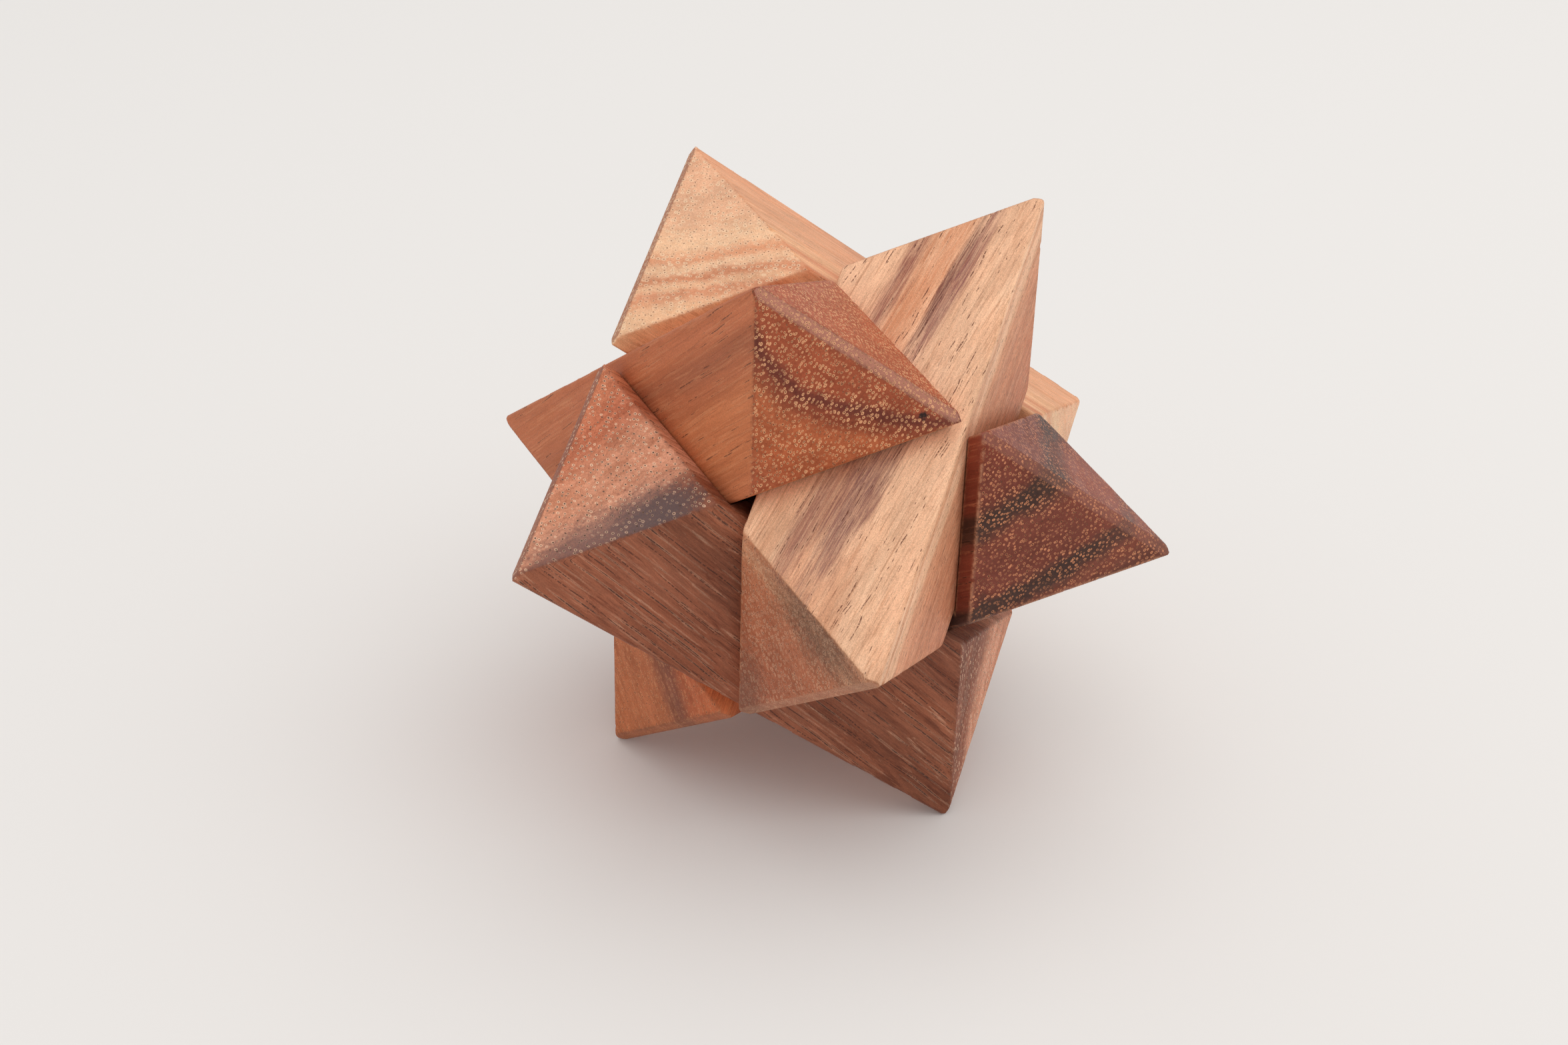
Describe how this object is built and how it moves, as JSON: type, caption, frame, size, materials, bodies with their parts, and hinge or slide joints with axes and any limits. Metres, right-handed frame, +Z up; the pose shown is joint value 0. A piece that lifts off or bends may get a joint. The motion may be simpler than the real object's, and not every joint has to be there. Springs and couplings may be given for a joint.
{
  "type": "wooden burr puzzle",
  "caption": "Diagonal burr puzzle: square wooden sticks with pointed ends and V-notches that lock together as a star with twelve points.",
  "frame": {"origin": "on the table, directly below the middle of the star, as it stands on three of its points", "axes": "+Z up, the shortest way across. +Y to the back: the two points that lie level with the middle on the front-to-back line are the longest way across, and the upper front stick's lower point faces -Y. +X to the right, towards the side that the lower right stick's back faces."},
  "size_m": [0.0742, 0.085, 0.0696],
  "materials": {
    "pale_streaked_wood": "pale tan hardwood with dark brown streaks, sanded, satin, unvarnished",
    "golden_wood": "golden tan hardwood with faint bands, sanded, satin, unvarnished",
    "reddish_wood": "reddish brown hardwood, sanded, satin, unvarnished",
    "brown_lined_wood": "mid brown hardwood with fine dark lines, sanded, satin, unvarnished",
    "dark_banded_wood": "dark red-brown hardwood with near-black bands, sanded, satin, unvarnished",
    "russet_wood": "orange-brown hardwood, sanded, satin, unvarnished"
  },
  "bodies": {
    "upper_front_stick": {"upper_front_stick": "pale_streaked_wood"},
    "upper_back_stick": {"upper_back_stick": "golden_wood"},
    "upper_left_stick": {"upper_left_stick": "reddish_wood"},
    "lower_front_stick": {"lower_front_stick": "brown_lined_wood"},
    "lower_right_stick": {"lower_right_stick": "dark_banded_wood"},
    "lower_back_stick": {"lower_back_stick": "russet_wood"}
  },
  "joints": [
    {"name": "upper_front_slide", "type": "slide", "parent": "lower_back_stick", "child": "upper_front_stick", "axis": [0.4082, -0.7071, 0.5774], "range_m": [0, 0.03]},
    {"name": "lower_front_slide", "type": "slide", "parent": "lower_back_stick", "child": "lower_front_stick", "axis": [0, -1, 0], "range_m": [0, 0.02121]},
    {"name": "lower_right_slide", "type": "slide", "parent": "lower_back_stick", "child": "lower_right_stick", "axis": [0.866, -0.5, 0], "range_m": [0, 0.02121]},
    {"name": "upper_back_slide", "type": "slide", "parent": "lower_back_stick", "child": "upper_back_stick", "axis": [0.5774, 0, 0.8165], "range_m": [0, 0.02121]},
    {"name": "upper_left_slide", "type": "slide", "parent": "lower_back_stick", "child": "upper_left_stick", "axis": [-0.2887, -0.5, 0.8165], "range_m": [0, 0.02121]}
  ],
  "couplings": [
    {"joint": "lower_front_slide", "follows": "upper_front_slide", "ratio": 0.70711},
    {"joint": "lower_right_slide", "follows": "upper_front_slide", "ratio": 0.70711},
    {"joint": "upper_back_slide", "follows": "upper_front_slide", "ratio": 0.70711},
    {"joint": "upper_left_slide", "follows": "upper_front_slide", "ratio": 0.70711}
  ]
}
